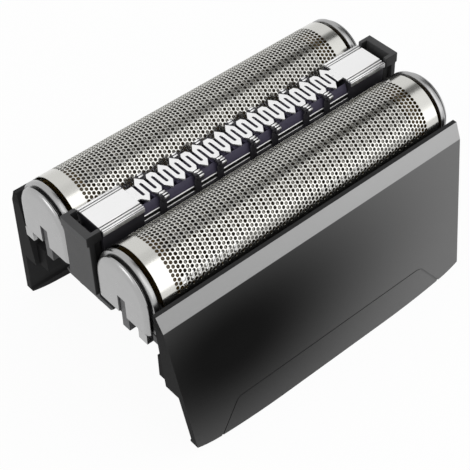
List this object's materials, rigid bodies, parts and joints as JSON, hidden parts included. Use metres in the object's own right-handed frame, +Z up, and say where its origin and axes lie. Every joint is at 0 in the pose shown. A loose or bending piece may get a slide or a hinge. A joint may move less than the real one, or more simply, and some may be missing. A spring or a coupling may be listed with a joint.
{
  "type": "shaver foil head",
  "caption": "Shaver cassette head: sprung, perforated shaving foils over oscillating lamella cutters, a slotted trimmer bar between them and flared side panels.",
  "frame": {"origin": "middle of the head's footprint, on the plane of the side panels' bottom edges", "axes": "+X along the foils, +Y towards the rear panel, +Z up, towards the skin"},
  "size_m": [0.058, 0.042, 0.0314],
  "materials": {
    "frame": "moulded black",
    "panel": "satin graphite",
    "spring": "spring steel",
    "foil": "bright nickel",
    "foil_frame": "moulded dark grey",
    "cap": "satin silver",
    "carrier": "amber",
    "blade": "ground",
    "trimmer_plate": "polished",
    "trimmer_block": "moulded blue black"
  },
  "bodies": {
    "cassette": {"cassette_frame": "frame", "front_panel": "panel", "rear_panel": "panel", "front_left_spring": "spring", "front_right_spring": "spring", "rear_left_spring": "spring", "rear_right_spring": "spring", "trimmer_left_spring": "spring", "trimmer_right_spring": "spring"},
    "front_foil_unit": {"front_foil": "foil", "front_foil_frame": "foil_frame", "front_left_cap": "cap", "front_right_cap": "cap"},
    "rear_foil_unit": {"rear_foil": "foil", "rear_foil_frame": "foil_frame", "rear_left_cap": "cap", "rear_right_cap": "cap"},
    "front_cutter": {"front_cutter_carrier": "carrier", "front_cutter_blades": "blade"},
    "rear_cutter": {"rear_cutter_carrier": "carrier", "rear_cutter_blades": "blade"},
    "trimmer": {"trimmer_comb": "trimmer_plate", "trimmer_housing": "trimmer_block", "trimmer_front_rail": "trimmer_plate", "trimmer_rear_rail": "trimmer_plate"},
    "trimmer_cutter": {"trimmer_blade": "blade", "trimmer_drive_arm": "trimmer_block"}
  },
  "joints": [
    {"name": "front_foil_float", "type": "slide", "parent": "cassette", "child": "front_foil_unit", "axis": [0, 0, -1], "range_m": [0, 0.002], "stiffness_N_per_m": 400, "springref_m": -0.001, "deforming": ["front_left_spring", "front_right_spring"]},
    {"name": "rear_foil_float", "type": "slide", "parent": "cassette", "child": "rear_foil_unit", "axis": [0, 0, -1], "range_m": [0, 0.002], "stiffness_N_per_m": 400, "springref_m": -0.001, "deforming": ["rear_left_spring", "rear_right_spring"]},
    {"name": "trimmer_float", "type": "slide", "parent": "cassette", "child": "trimmer", "axis": [0, 0, -1], "range_m": [0, 0.0012], "stiffness_N_per_m": 400, "springref_m": -0.001, "deforming": ["trimmer_left_spring", "trimmer_right_spring"]},
    {"name": "front_cutter_stroke", "type": "slide", "parent": "front_foil_unit", "child": "front_cutter", "axis": [1, 0, 0], "range_m": [-0.0012, 0.0012]},
    {"name": "rear_cutter_stroke", "type": "slide", "parent": "rear_foil_unit", "child": "rear_cutter", "axis": [1, 0, 0], "range_m": [-0.0012, 0.0012]},
    {"name": "trimmer_blade_stroke", "type": "slide", "parent": "trimmer", "child": "trimmer_cutter", "axis": [1, 0, 0], "range_m": [-0.001, 0.001]}
  ]
}
